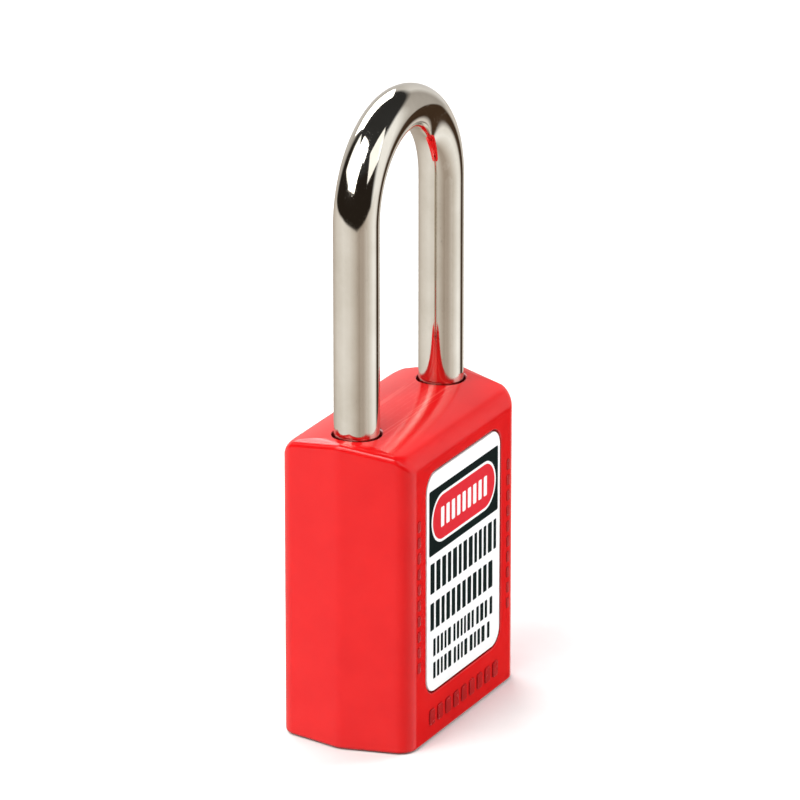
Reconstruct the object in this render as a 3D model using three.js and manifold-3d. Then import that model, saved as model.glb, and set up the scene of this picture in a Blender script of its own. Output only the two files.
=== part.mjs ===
// Safety padlock, in millimetres. The origin is at the bottom centre of the body, +Z runs up along the
// shackle, -Y is the front face with the label, and X runs across the wide face. The lock is locked.
import * as THREE from 'three';
import { mergeVertices } from 'three/addons/utils/BufferGeometryUtils.js';
import Module from 'manifold-3d';

const wasm = await Module();
wasm.setup();

// body
const RIDGE_X = 19;
const FACE_X = 16.8;
const DEPTH_Y = 10;
const BODY_TOP = 44.5;
const CROWN_DROP = 2;
const CORNER_R = 2.8;
const RIDGE_R = 3;
const SIDE_TOP_R = 0.8;
const FACE_TOP_R = 2.0;
const BOTTOM_R = 0.5;
const WALL = 1.8;
const POCKET_TOP = 40.4;
const CAP_TOP = 3;
const CAP_PLAY = 0.2;
const SPIGOT_R = 1.9;
const SPIGOT_H = 2;
const GAP = 0.3;
// how far a cutting tool reaches past the face that it opens
const PAST = 1;

// shackle
const ROD_R = 3.175;
const LEG_X = 13;
const BOW_Z = 74;
const HEEL_END = 12.5;
const TOE_END = 32;
const LEG_HOLE_R = 3.4;
const HOLE_FLARE = 0.5;
const END_CHAMFER = 0.6;
const LIFT = 13;

// balls, their notches and the cam
const BALL_R = 3;
const BALL_Z = 36.5;
const BALL_X = 8.125;
const BALL_TRAVEL = 4;
const BALL_PLAY = 0.15;
const NOTCH_SIDES = 20;
const CAM_R = 5;
const CAM_PLAY = 0.12;
const CAM_BORE_R = 5.6;
const CAM_DISC_R = 5.2;
const CAM_LIFT = 0.2;
const TONGUE_X = 4.8;
const TONGUE_PLAY = 0.15;

// labels
const LABEL_W = 23;
const LABEL_H = 32;
const LABEL_Z = 23;
const LABEL_R = 2.5;
const LABEL_T = 0.35;
const LABEL_BED = 0.1;
const RECESS = 0.5;
const RECESS_MARGIN = 0.3;
const BACK_LABEL_H = 28;

// raised row under the label
const MARKS = 9;
const MARK_PITCH = 2.5;
const MARK_W = 1.5;
const MARK_H = 2.2;
const MARK_Z = 3.4;
const MARK_RAISED = 0.2;
const MARK_ROOT = 0.2;

// cylinder
const HOUSING_R = 7.7;
const HOUSING_BOTTOM = 3.3;
const HOUSING_TOP = 23;
const POST_TOP = 26.4;
const BLOCK_X = -15.3;
const BLOCK_IN = -4;
const POST_IN = -8.2;
const BLOCK_HALF = 2.7;
const STRIP_T = 0.6;
const STRIP_BED = 0.1;
const STRIP_MARGIN = 0.4;
const PLUG_R = 6;
const PLUG_BORE_R = 6.2;
const PLUG_FLANGE_R = 6.9;
const PLUG_FACE = 0.5;
const PLUG_TOP = 26.4;
const CAP_HOLE_R = 7.2;
const KEYWAY_HALF = 0.85;
const KEYWAY_IN = -2.9;
const KEYWAY_OUT = 4.4;
const KEYWAY_TOP = 22;
const WARD_Y = 1.4;
const WARD_X = 0.5;
const SHELF_Y = 0.3;
const SHELF_X = 1.6;
const SHELF_SLOPE = 0.5;
const SLOT_HALF = 1.25;
const SLOT_FLOOR = 24.3;
const GROOVE_R = 5.1;
const GROOVE_BOTTOM = 23.2;
const GROOVE_TOP = 24;
const CLIP_R = 7.2;
const CLIP_PLAY = 0.05;
const CLIP_GAP = 1.6;

// pins
const PINS = 6;
const PIN_FIRST = 5.2;
const PIN_PITCH = 3.1;
const PIN_R = 1.25;
const PIN_CHAMFER = 0.2;
const KEY_PIN_TIP = 0.9;
const CHAMBER_R = 1.45;
const CHAMBER_IN = -2.1;
const KEY_PIN_TOP = -5.8;
const KEY_PIN_LENGTHS = [3.6, 2.9, 4.1, 3.2, 3.9, 3.0];
const DRIVER_IN = -6.3;
const DRIVER_OUT = -10;
const PIN_SPRING_IN = -10.05;
const PIN_SPRING_OUT = -15.15;
const PIN_COIL = { coilR: 1, wireR: 0.16, turns: 5, stepsPerTurn: 9, sides: 4 };

// case, sleeve, stop pin and screw
const CASE_BOTTOM = 26.8;
const CASE_TOP = 40.1;
const CASE_HALF = 7.6;
const SOCKET_FLOOR = 29;
const SLEEVE_R = 3.8;
const HEEL_COIL = { coilR: 2.5, wireR: 0.35, turns: 7, stepsPerTurn: 12, sides: 5 };
const HEEL_COIL_PLAY = 0.1;
const STOP_Z = 29.6;
const STOP_R = 0.9;
const STOP_SHORT = 0.2;
const STOP_PLAY = 0.1;
const NECK_R = 2;
const NECK_GAP = 0.15;
const STOP_X = LEG_X - NECK_R - NECK_GAP - STOP_R;
const SCREW_HEAD_R = 2.6;
const SCREW_HEAD_H = 2.2;
const SCREW_R = 1.4;
const SCREW_END = 22.7;
const SCREW_TIP = 0.4;
const SCREW_CASE_PLAY = 0.2;
const SCREW_THREAD_PLAY = 0.05;
const HEX_R = 1.3;
const HEX_DEPTH = 1.3;

const QUARTER = Math.PI / 2;

const PLASTIC = { color: 0xc81418, roughness: 0.35, metalness: 0 };
const NICKEL = { color: 0xcfcabb, roughness: 0.16, metalness: 1 };
const ZINC = { color: 0x9a9c9c, roughness: 0.45, metalness: 1 };
const BRASS = { color: 0xb9933e, roughness: 0.32, metalness: 1 };
const STEEL = { color: 0xb4b6b8, roughness: 0.25, metalness: 1 };
const LABEL = { color: 0xf4f4f0, roughness: 0.4, metalness: 0 };

function solid(geometry) {
  const bare = geometry.clone();
  bare.deleteAttribute('normal');
  bare.deleteAttribute('uv');
  const merged = mergeVertices(bare, 1e-4);
  const corners = merged.index.array;
  const kept = [];
  for (let i = 0; i < corners.length; i += 3) {
    const [a, b, c] = [corners[i], corners[i + 1], corners[i + 2]];
    if (a !== b && b !== c && c !== a) kept.push(a, b, c);
  }
  const vertProperties = Float32Array.from(merged.attributes.position.array);
  const triVerts = Uint32Array.from(kept);
  return new wasm.Manifold(new wasm.Mesh({ numProp: 3, vertProperties, triVerts }));
}

function meshOf(name, body, look) {
  const data = body.getMesh();
  const geometry = new THREE.BufferGeometry();
  geometry.setAttribute('position', new THREE.BufferAttribute(data.vertProperties, 3));
  geometry.setIndex(new THREE.BufferAttribute(data.triVerts, 1));
  geometry.computeVertexNormals();
  const mesh = new THREE.Mesh(geometry, new THREE.MeshStandardMaterial(look));
  mesh.name = name;
  return mesh;
}

// extrudes an outline from `from` to `to`: [x, y] points along Z, or [z, x] points along Y
function prism(outline, axis, from, to) {
  const shape = new THREE.Shape(outline.map(([u, v]) => new THREE.Vector2(u, v)));
  const geometry = new THREE.ExtrudeGeometry(shape, { depth: to - from, bevelEnabled: false });
  geometry.translate(0, 0, from);
  if (axis === 'y') {
    const [x, y, z] = [new THREE.Vector3(1, 0, 0), new THREE.Vector3(0, 1, 0), new THREE.Vector3(0, 0, 1)];
    geometry.applyMatrix4(new THREE.Matrix4().makeBasis(z, x, y));
  }
  return solid(geometry);
}

function block(x0, x1, y0, y1, z0, z1) {
  const outline = [[x0, y0], [x1, y0], [x1, y1], [x0, y1]];
  return prism(outline, 'z', z0, z1);
}

// turns a profile of [radius, height] points, bottom to top, about the vertical line through x, y
function turned(profile, sides, x = 0, y = 0) {
  const points = profile.map(([r, z]) => new THREE.Vector2(r, z));
  const geometry = new THREE.LatheGeometry(points, sides);
  geometry.rotateX(QUARTER);
  geometry.translate(x, y, 0);
  return solid(geometry);
}

function rod(radius, z0, z1, sides, x = 0, y = 0) {
  return turned([[0, z0], [radius, z0], [radius, z1], [0, z1]], sides, x, y);
}

// a rod between two ends on a line along X or Y
function crossRod(radius, axis, from, to, sides, x, y, z) {
  const geometry = new THREE.CylinderGeometry(radius, radius, to - from, sides);
  geometry.translate(0, (from + to) / 2, 0);
  if (axis === 'x') geometry.rotateZ(-QUARTER);
  geometry.translate(x, y, z);
  return solid(geometry);
}

// replaces each corner of a polygon with an arc of its own radius
function rounded(corners, radii, steps) {
  const points = [];
  corners.forEach((corner, i) => {
    const here = new THREE.Vector2(...corner);
    const before = new THREE.Vector2(...corners[(i + corners.length - 1) % corners.length]).sub(here);
    const after = new THREE.Vector2(...corners[(i + 1) % corners.length]).sub(here);
    before.normalize();
    after.normalize();
    const half = Math.acos(before.dot(after)) / 2;
    const middle = before.clone().add(after).normalize();
    const centre = here.clone().addScaledVector(middle, radii[i] / Math.sin(half));
    const start = here.clone().addScaledVector(before, radii[i] / Math.tan(half)).sub(centre);
    const turn = Math.sign(before.cross(after)) * -(Math.PI - 2 * half);
    for (let k = 0; k <= steps; k += 1) {
      const spoke = start.clone().rotateAround(new THREE.Vector2(), (turn * k) / steps);
      points.push([centre.x + spoke.x, centre.y + spoke.y]);
    }
  });
  return points;
}

// six-sided plan with a soft ridge in the middle of each narrow side
function hexPlan(ridge, face, depth, cornerR, ridgeR, steps) {
  const corners = [[ridge, 0], [face, depth], [-face, depth], [-ridge, 0], [-face, -depth], [face, -depth]];
  const radii = [ridgeR, cornerR, cornerR, ridgeR, cornerR, cornerR];
  return rounded(corners, radii, steps);
}

function insetPlan(inset, depth = DEPTH_Y - inset) {
  const slope = (RIDGE_X - FACE_X) / DEPTH_Y;
  const ridge = RIDGE_X - inset;
  return hexPlan(ridge, ridge - slope * depth, depth, CORNER_R / 2, RIDGE_R / 2, 4);
}

// joins rings of equal length into one skin
function skin(rings) {
  const count = rings[0].length;
  const index = [];
  for (let k = 0; k + 1 < rings.length; k += 1) {
    for (let i = 0; i < count; i += 1) {
      const next = (i + 1) % count;
      const [a, b] = [k * count + i, k * count + next];
      const [c, d] = [a + count, b + count];
      index.push(a, b, d, a, d, c);
    }
  }
  const geometry = new THREE.BufferGeometry();
  geometry.setAttribute('position', new THREE.Float32BufferAttribute(rings.flat(2), 3));
  geometry.setIndex(index);
  return geometry;
}

const crown = (y) => BODY_TOP - CROWN_DROP * (y / DEPTH_Y) ** 2;

// outside of the body: rings up the sides, over the top edge and in to the middle line of the crowned top
function bodyOutside() {
  const plan = hexPlan(RIDGE_X, FACE_X, DEPTH_Y, CORNER_R, RIDGE_R, 4);
  const normals = plan.map((point, i) => {
    const [x0, y0] = plan[(i + plan.length - 1) % plan.length];
    const [x1, y1] = plan[(i + 1) % plan.length];
    return new THREE.Vector2(y1 - y0, x0 - x1).normalize();
  });
  const bottomRing = (inset, z, keep) => plan.map(([x, y], i) => [
    x - normals[i].x * inset,
    (y - normals[i].y * inset) * keep,
    z,
  ]);
  const topRing = (angle, keep) => plan.map(([x, y], i) => {
    const across = normals[i].x * SIDE_TOP_R;
    const along = normals[i].y * FACE_TOP_R;
    const inward = 1 - Math.cos(angle);
    const ringY = (y - along * inward) * keep;
    const drop = Math.hypot(across, along) * (1 - Math.sin(angle));
    return [x - across * inward, ringY, crown(ringY) - drop];
  });
  const rings = [bottomRing(BOTTOM_R, 0, 0), bottomRing(BOTTOM_R, 0, 1)];
  rings.push(bottomRing(BOTTOM_R * 0.3, BOTTOM_R * 0.3, 1), bottomRing(0, BOTTOM_R, 1));
  const steps = 5;
  for (let k = 0; k <= steps; k += 1) rings.push(topRing((QUARTER * k) / steps, 1));
  for (const keep of [0.75, 0.5, 0.25, 0]) rings.push(topRing(QUARTER, keep));
  return solid(skin(rings));
}

function labelPlan(width, height, margin) {
  const [x, z] = [width / 2 + margin, height / 2 + margin];
  const corners = [[-z, -x], [z, -x], [z, x], [-z, x]];
  const radii = corners.map(() => LABEL_R + margin);
  return rounded(corners, radii, 4).map(([v, u]) => [v + LABEL_Z, u]);
}

function bodyShell() {
  let body = bodyOutside();
  body = body.subtract(prism(insetPlan(WALL), 'z', -PAST, POCKET_TOP));
  for (const side of [-1, 1]) {
    const [low, high] = [POCKET_TOP - PAST, BODY_TOP + PAST];
    const hole = [[0, low], [LEG_HOLE_R, low], [LEG_HOLE_R, BODY_TOP - HOLE_FLARE]];
    hole.push([LEG_HOLE_R + HOLE_FLARE + PAST, high], [0, high]);
    body = body.subtract(turned(hole, 40, side * LEG_X));
  }
  const front = labelPlan(LABEL_W, LABEL_H, RECESS_MARGIN);
  body = body.subtract(prism(front, 'y', -DEPTH_Y - PAST, -DEPTH_Y + RECESS));
  const back = labelPlan(LABEL_W, BACK_LABEL_H, RECESS_MARGIN);
  body = body.subtract(prism(back, 'y', DEPTH_Y - RECESS, DEPTH_Y + PAST));
  for (let i = 0; i < MARKS; i += 1) {
    const x = (i - (MARKS - 1) / 2) * MARK_PITCH;
    const [y0, y1] = [-DEPTH_Y - MARK_RAISED, -DEPTH_Y + MARK_ROOT];
    const [z0, z1] = [MARK_Z - MARK_H / 2, MARK_Z + MARK_H / 2];
    body = body.add(block(x - MARK_W / 2, x + MARK_W / 2, y0, y1, z0, z1));
  }
  return body;
}

function labelPlate(height, side) {
  const near = side * (DEPTH_Y - RECESS + LABEL_BED);
  const far = near + side * LABEL_T;
  return prism(labelPlan(LABEL_W, height, 0), 'y', Math.min(near, far), Math.max(near, far));
}

function bottomCap() {
  const plate = prism(insetPlan(WALL + CAP_PLAY), 'z', 0, CAP_TOP);
  const spigot = rod(SPIGOT_R, CAP_TOP / 2, CAP_TOP + SPIGOT_H, 20, LEG_X);
  const hole = rod(CAP_HOLE_R, -PAST, CAP_TOP + PAST, 48);
  return plate.add(spigot).subtract(hole);
}

function lockCase() {
  let body = prism(insetPlan(WALL + GAP, CASE_HALF), 'z', CASE_BOTTOM, CASE_TOP);
  const [low, high] = [CASE_BOTTOM - PAST, CASE_TOP + PAST];
  body = body.subtract(rod(CAM_BORE_R, low, high, 40));
  body = body.subtract(rod(LEG_HOLE_R, low, high, 40, LEG_X));
  body = body.subtract(rod(LEG_HOLE_R, SOCKET_FLOOR, high, 40, -LEG_X));
  body = body.subtract(rod(SCREW_R + SCREW_CASE_PLAY, low, SOCKET_FLOOR + PAST, 20, -LEG_X));
  body = body.subtract(crossRod(BALL_R + BALL_PLAY, 'x', -LEG_X, LEG_X, 32, 0, 0, BALL_Z));
  return body.subtract(crossRod(STOP_R + STOP_PLAY, 'y', -DEPTH_Y, DEPTH_Y, 16, STOP_X, 0, STOP_Z));
}

function stopPin() {
  const half = CASE_HALF - STOP_SHORT;
  return crossRod(STOP_R, 'y', -half, half, 16, STOP_X, 0, STOP_Z);
}

const pinHeight = (i) => PIN_FIRST + i * PIN_PITCH;

function cylinderHousing() {
  let body = rod(HOUSING_R, HOUSING_BOTTOM, HOUSING_TOP, 46);
  body = body.add(block(BLOCK_X, BLOCK_IN, -BLOCK_HALF, BLOCK_HALF, HOUSING_BOTTOM, HOUSING_TOP));
  body = body.add(block(BLOCK_X, POST_IN, -BLOCK_HALF, BLOCK_HALF, HOUSING_TOP - 1, POST_TOP));
  body = body.subtract(rod(PLUG_BORE_R, HOUSING_BOTTOM - PAST, HOUSING_TOP + PAST, 46));
  for (let i = 0; i < PINS; i += 1) {
    body = body.subtract(crossRod(CHAMBER_R, 'x', BLOCK_X - PAST, BLOCK_IN, 20, 0, 0, pinHeight(i)));
  }
  const screwHole = rod(SCREW_R + SCREW_THREAD_PLAY, SCREW_END - GAP, POST_TOP + PAST, 20, -LEG_X);
  return body.subtract(screwHole);
}

function plug() {
  const chamfer = 0.3;
  const profile = [[0, PLUG_FACE], [PLUG_FLANGE_R - chamfer, PLUG_FACE]];
  profile.push([PLUG_FLANGE_R, PLUG_FACE + chamfer], [PLUG_FLANGE_R, CAP_TOP]);
  profile.push([PLUG_R, CAP_TOP], [PLUG_R, GROOVE_BOTTOM]);
  profile.push([GROOVE_R, GROOVE_BOTTOM], [GROOVE_R, GROOVE_TOP], [PLUG_R, GROOVE_TOP]);
  profile.push([PLUG_R, PLUG_TOP], [0, PLUG_TOP]);
  let body = turned(profile, 42);
  const keyway = [[KEYWAY_IN, -KEYWAY_HALF], [0, -KEYWAY_HALF], [WARD_X, -WARD_Y], [KEYWAY_OUT, -WARD_Y]];
  keyway.push([KEYWAY_OUT, SHELF_Y], [SHELF_X, SHELF_Y], [SHELF_X - SHELF_SLOPE, KEYWAY_HALF]);
  keyway.push([KEYWAY_IN, KEYWAY_HALF]);
  body = body.subtract(prism(keyway, 'z', -PAST, KEYWAY_TOP));
  const wide = PLUG_R + PAST;
  for (let i = 0; i < PINS; i += 1) {
    body = body.subtract(crossRod(CHAMBER_R, 'x', -wide, CHAMBER_IN, 20, 0, 0, pinHeight(i)));
  }
  return body.subtract(block(-wide, wide, -SLOT_HALF, SLOT_HALF, SLOT_FLOOR, PLUG_TOP + PAST));
}

// a pin along X, from its chamfered outer end to its inner end, whose tip is `tip` long
function pin(inner, outer, tip, i) {
  const length = inner - outer;
  const [tipR, point] = [PIN_R - 0.6 * tip, 0.1];
  const profile = [[0, 0], [PIN_R - PIN_CHAMFER, 0], [PIN_R, PIN_CHAMFER], [PIN_R, length - tip]];
  profile.push([tipR, length - point], [0, length]);
  const points = profile.map(([r, h]) => new THREE.Vector2(r, h));
  const geometry = new THREE.LatheGeometry(points, 16);
  geometry.rotateZ(-QUARTER);
  geometry.translate(outer, 0, pinHeight(i));
  return solid(geometry);
}

// part of a turn that gives the wire's direction
const NUDGE = 0.01;

// closed coil spring from a start point, along an axis, with flat end turns
function coil(start, along, side, length, { coilR, wireR, turns, stepsPerTurn, sides }) {
  const cross = new THREE.Vector3().crossVectors(along, side);
  const steps = turns * stepsPerTurn;
  const flat = 2.1 * wireR;
  const climb = (length - 2 * wireR - 2 * flat) / (turns - 2);
  const height = (turn) => {
    if (turn < 1) return flat * turn;
    if (turn > turns - 1) return length - 2 * wireR - flat * (turns - turn);
    return flat + climb * (turn - 1);
  };
  const centre = (turn) => {
    const angle = 2 * Math.PI * turn;
    const point = start.clone().addScaledVector(along, wireR + height(turn));
    point.addScaledVector(side, coilR * Math.cos(angle));
    return point.addScaledVector(cross, coilR * Math.sin(angle));
  };
  const rings = [];
  for (let k = 0; k <= steps; k += 1) {
    const turn = k / stepsPerTurn;
    const middle = centre(turn);
    const forward = centre(turn + NUDGE).sub(centre(turn - NUDGE)).normalize();
    const out = side.clone().multiplyScalar(Math.cos(2 * Math.PI * turn));
    out.addScaledVector(cross, Math.sin(2 * Math.PI * turn));
    const up = new THREE.Vector3().crossVectors(forward, out);
    rings.push(roundRing(middle, out, up, wireR, sides));
  }
  return closedTube(rings);
}

function roundRing(middle, out, up, radius, sides) {
  const ring = [];
  for (let i = 0; i < sides; i += 1) {
    const angle = (2 * Math.PI * i) / sides;
    const point = middle.clone().addScaledVector(out, radius * Math.cos(angle));
    point.addScaledVector(up, radius * Math.sin(angle));
    ring.push(point.toArray());
  }
  return ring;
}

// closes both ends of a run of rings on their own centres
function closedTube(rings) {
  const flatEnd = (ring) => {
    const sum = ring.reduce((a, p) => [a[0] + p[0], a[1] + p[1], a[2] + p[2]], [0, 0, 0]);
    return ring.map(() => sum.map((v) => v / ring.length));
  };
  const all = [flatEnd(rings[0]), ...rings, flatEnd(rings[rings.length - 1])];
  return solid(skin(all));
}

// the bent bar, from the heel's end up, over the bow and down to the toe's end
function shackle() {
  const sides = 26;
  const bowSteps = 24;
  const rings = [];
  const ring = (x, z, angle, radius) => {
    const out = new THREE.Vector3(Math.cos(angle), 0, Math.sin(angle));
    rings.push(roundRing(new THREE.Vector3(x, 0, z), out, new THREE.Vector3(0, 1, 0), radius, sides));
  };
  ring(LEG_X, HEEL_END, 0, ROD_R - END_CHAMFER);
  ring(LEG_X, HEEL_END + END_CHAMFER, 0, ROD_R);
  for (let k = 0; k <= bowSteps; k += 1) {
    const angle = (Math.PI * k) / bowSteps;
    ring(LEG_X * Math.cos(angle), BOW_Z + LEG_X * Math.sin(angle), angle, ROD_R);
  }
  ring(-LEG_X, TOE_END + END_CHAMFER, Math.PI, ROD_R);
  ring(-LEG_X, TOE_END, Math.PI, ROD_R - END_CHAMFER);
  let body = closedTube(rings);
  const shoulder = STOP_Z - STOP_R - LIFT - GAP;
  const neckTop = STOP_Z + STOP_R + GAP;
  const neck = rod(ROD_R + PAST, shoulder, neckTop, 32, LEG_X);
  body = body.subtract(neck.subtract(rod(NECK_R, 0, BODY_TOP, 32, LEG_X)));
  for (const side of [-1, 1]) body = body.subtract(ballNotch(side));
  return body;
}

// space swept by a ball in the rising shackle, from its locked place until it is clear of the leg
function ballNotch(side) {
  const reach = BALL_R + BALL_X - (LEG_X - ROD_R);
  const fall = (reach / BALL_TRAVEL) * LIFT;
  const notch = new THREE.CapsuleGeometry(BALL_R + BALL_PLAY, Math.hypot(reach, fall), 6, NOTCH_SIDES);
  notch.rotateY(Math.PI / NOTCH_SIDES);
  notch.rotateX(QUARTER);
  notch.rotateY(side * Math.atan2(reach, fall));
  notch.translate(side * (BALL_X - reach / 2), 0, BALL_Z - fall / 2);
  return solid(notch);
}

function ball(side) {
  const geometry = new THREE.SphereGeometry(BALL_R, 20, 12);
  geometry.rotateX(QUARTER);
  geometry.translate(side * BALL_X, 0, BALL_Z);
  return solid(geometry);
}

// radius of the cam at an angle: the disc, cut where a ball passes as the cam turns and the ball moves in
function camRadius(angle) {
  let radius = CAM_R;
  const steps = 90;
  for (let k = 0; k <= steps; k += 1) {
    const done = k / steps;
    const distance = BALL_X - BALL_TRAVEL * done;
    for (const start of [0, Math.PI]) {
      const off = angle - (start - QUARTER * done);
      const aside = distance * Math.sin(off);
      const clear = BALL_R + CAM_PLAY;
      if (Math.cos(off) > 0 && Math.abs(aside) < clear) {
        radius = Math.min(radius, distance * Math.cos(off) - Math.sqrt(clear ** 2 - aside ** 2));
      }
    }
  }
  return radius;
}

function cam() {
  const outline = [];
  const points = 96;
  for (let i = 0; i < points; i += 1) {
    const angle = (2 * Math.PI * i) / points;
    const radius = camRadius(angle);
    outline.push([radius * Math.cos(angle), radius * Math.sin(angle)]);
  }
  const discTop = BALL_Z - BALL_R - CAM_LIFT;
  const lobes = prism(outline, 'z', discTop - PAST, CASE_TOP);
  const disc = rod(CAM_DISC_R, PLUG_TOP + CAM_LIFT, discTop, 40);
  const half = SLOT_HALF - TONGUE_PLAY;
  const tongue = block(-TONGUE_X, TONGUE_X, -half, half, SLOT_FLOOR + GAP, PLUG_TOP + PAST);
  return lobes.add(disc).add(tongue);
}

// open ring in the groove of the plug, with its gap at the front
function plugClip() {
  const [low, high] = [GROOVE_BOTTOM - PAST, GROOVE_TOP + PAST];
  const ring = rod(CLIP_R, GROOVE_BOTTOM + CLIP_PLAY, GROOVE_TOP - CLIP_PLAY, 40);
  const hole = rod(GROOVE_R + 2 * CLIP_PLAY, low, high, 40);
  const gap = block(-CLIP_GAP, CLIP_GAP, -CLIP_R - PAST, 0, low, high);
  return ring.subtract(hole).subtract(gap);
}

function heelSleeve() {
  const outside = rod(SLEEVE_R, CAP_TOP + GAP, CASE_BOTTOM - GAP, 32, LEG_X);
  return outside.subtract(rod(LEG_HOLE_R, 0, CASE_BOTTOM, 32, LEG_X));
}

function chamberStrip() {
  const near = BLOCK_X - STRIP_BED;
  const half = BLOCK_HALF - STRIP_MARGIN;
  return block(near - STRIP_T, near, -half, half, HOUSING_BOTTOM, HOUSING_TOP);
}

function retainingScrew() {
  const head = SOCKET_FLOOR + 0.1;
  const top = head + SCREW_HEAD_H;
  const chamfer = 0.2;
  const profile = [[0, SCREW_END], [SCREW_R - SCREW_TIP, SCREW_END], [SCREW_R, SCREW_END + SCREW_TIP]];
  profile.push([SCREW_R, head], [SCREW_HEAD_R, head], [SCREW_HEAD_R, top - chamfer]);
  profile.push([SCREW_HEAD_R - chamfer, top], [0, top]);
  const hexSocket = rod(HEX_R, top - HEX_DEPTH, top + PAST, 6, -LEG_X);
  return turned(profile, 24, -LEG_X).subtract(hexSocket);
}

function shackleSpring() {
  const start = new THREE.Vector3(LEG_X, 0, CAP_TOP + HEEL_COIL_PLAY);
  const length = HEEL_END - CAP_TOP - 2 * HEEL_COIL_PLAY;
  const up = new THREE.Vector3(0, 0, 1);
  return coil(start, up, new THREE.Vector3(1, 0, 0), length, HEEL_COIL);
}

function pinSpring(i) {
  const start = new THREE.Vector3(PIN_SPRING_IN, 0, pinHeight(i));
  const outward = new THREE.Vector3(-1, 0, 0);
  return coil(start, outward, new THREE.Vector3(0, 0, 1), PIN_SPRING_IN - PIN_SPRING_OUT, PIN_COIL);
}

const padlock = new THREE.Group();
padlock.name = 'safety_padlock';
const add = (name, body, look) => padlock.add(meshOf(name, body, look));

add('body_shell', bodyShell(), PLASTIC);
add('bottom_cap', bottomCap(), { ...PLASTIC, color: 0x1c1c1e });
add('front_label', labelPlate(LABEL_H, -1), LABEL);
add('back_label', labelPlate(BACK_LABEL_H, 1), LABEL);
add('shackle', shackle(), NICKEL);
add('lock_case', lockCase(), ZINC);
add('cylinder_housing', cylinderHousing(), BRASS);
add('plug', plug(), { ...BRASS, color: 0xc8a24a });
add('plug_clip', plugClip(), STEEL);
add('cam', cam(), STEEL);
add('ball_toe', ball(-1), STEEL);
add('ball_heel', ball(1), STEEL);
for (let i = 0; i < PINS; i += 1) {
  const inner = KEY_PIN_TOP + KEY_PIN_LENGTHS[i];
  add(`key_pin_${i + 1}`, pin(inner, KEY_PIN_TOP, KEY_PIN_TIP, i), BRASS);
  add(`driver_pin_${i + 1}`, pin(DRIVER_IN, DRIVER_OUT, PIN_CHAMFER, i), STEEL);
  add(`pin_spring_${i + 1}`, pinSpring(i), STEEL);
}
add('chamber_strip', chamberStrip(), BRASS);
add('heel_sleeve', heelSleeve(), ZINC);
add('shackle_spring', shackleSpring(), STEEL);
add('stop_pin', stopPin(), STEEL);
add('retaining_screw', retainingScrew(), { ...STEEL, color: 0x3a3b3d });

export default padlock;
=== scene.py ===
"""Looks of the safety padlock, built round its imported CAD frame. Sizes are in millimetres up to the stage,
which is in metres."""
import math
import random

import bmesh
import bpy
from mathutils import Matrix, Vector


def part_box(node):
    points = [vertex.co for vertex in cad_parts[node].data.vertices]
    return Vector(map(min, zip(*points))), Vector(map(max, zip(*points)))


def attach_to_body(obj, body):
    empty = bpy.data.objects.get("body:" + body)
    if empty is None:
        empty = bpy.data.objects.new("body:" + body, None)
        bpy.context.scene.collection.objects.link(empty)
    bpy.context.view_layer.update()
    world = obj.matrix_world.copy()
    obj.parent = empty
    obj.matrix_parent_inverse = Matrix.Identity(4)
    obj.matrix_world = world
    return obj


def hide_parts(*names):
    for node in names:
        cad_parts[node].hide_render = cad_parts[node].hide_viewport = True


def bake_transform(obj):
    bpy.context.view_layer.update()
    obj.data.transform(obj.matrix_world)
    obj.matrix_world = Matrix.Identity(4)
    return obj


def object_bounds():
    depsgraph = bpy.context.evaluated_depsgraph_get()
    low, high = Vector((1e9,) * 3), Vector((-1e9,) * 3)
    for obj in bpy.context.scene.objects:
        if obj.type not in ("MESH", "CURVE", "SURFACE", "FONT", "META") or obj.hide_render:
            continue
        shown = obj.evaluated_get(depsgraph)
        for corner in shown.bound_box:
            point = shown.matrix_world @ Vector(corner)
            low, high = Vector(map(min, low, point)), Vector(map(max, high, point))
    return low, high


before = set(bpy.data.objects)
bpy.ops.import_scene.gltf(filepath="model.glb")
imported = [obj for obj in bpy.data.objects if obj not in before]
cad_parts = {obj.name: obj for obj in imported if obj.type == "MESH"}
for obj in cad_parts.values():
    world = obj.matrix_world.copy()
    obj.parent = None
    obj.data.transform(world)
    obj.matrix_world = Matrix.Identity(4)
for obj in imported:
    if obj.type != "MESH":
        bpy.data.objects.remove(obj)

cad_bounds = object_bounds()
MM = 0.001
QUARTER = math.pi / 2

# sides of round pieces
SMALL_ROUND = 48
BALL_ROUND = 64
BAR_ROUND = 72
LEG_ROUND = 96
PLUG_ROUND = 128


def box_mm(node):
    low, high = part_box(node)
    return low / MM, high / MM


# outline of the body
body_high = box_mm("body_shell")[1]
RIDGE_X = 19.0
FACE_X = 16.8
DEPTH_Y = body_high.y
BODY_TOP = body_high.z
CROWN_DROP = 2.0
CORNER_R = 2.8
RIDGE_R = 3.0
SIDE_TOP_R = 0.8
FACE_TOP_R = 2.0
BOTTOM_R = 0.5
WALL = 1.8
POCKET_TOP = 40.4
RECESS = 0.5
RECESS_MARGIN = 0.3
LABEL_R = 2.5
LIP = 0.22

# shackle
shackle_low, shackle_high = box_mm("shackle")
ROD_R = 3.175
LEG_X = 13.0
BOW_Z = shackle_high.z - ROD_R - LEG_X
HEEL_END = shackle_low.z
TOE_END = 32.0
LEG_HOLE_R = 3.4
LIFT = 13.0
BALL_R = 3.0
BALL_Z = 36.5
BALL_X = 8.125
BALL_TRAVEL = 4.0
BALL_PLAY = 0.15
NECK_R = 2.0
NECK_LOW = 15.4
NECK_HIGH = 30.8

# raised row under the label
MARKS = 9
MARK_PITCH = 2.5
MARK_W = 1.5
MARK_H = 2.2
MARK_Z = 3.4
MARK_RAISED = 0.19

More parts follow.
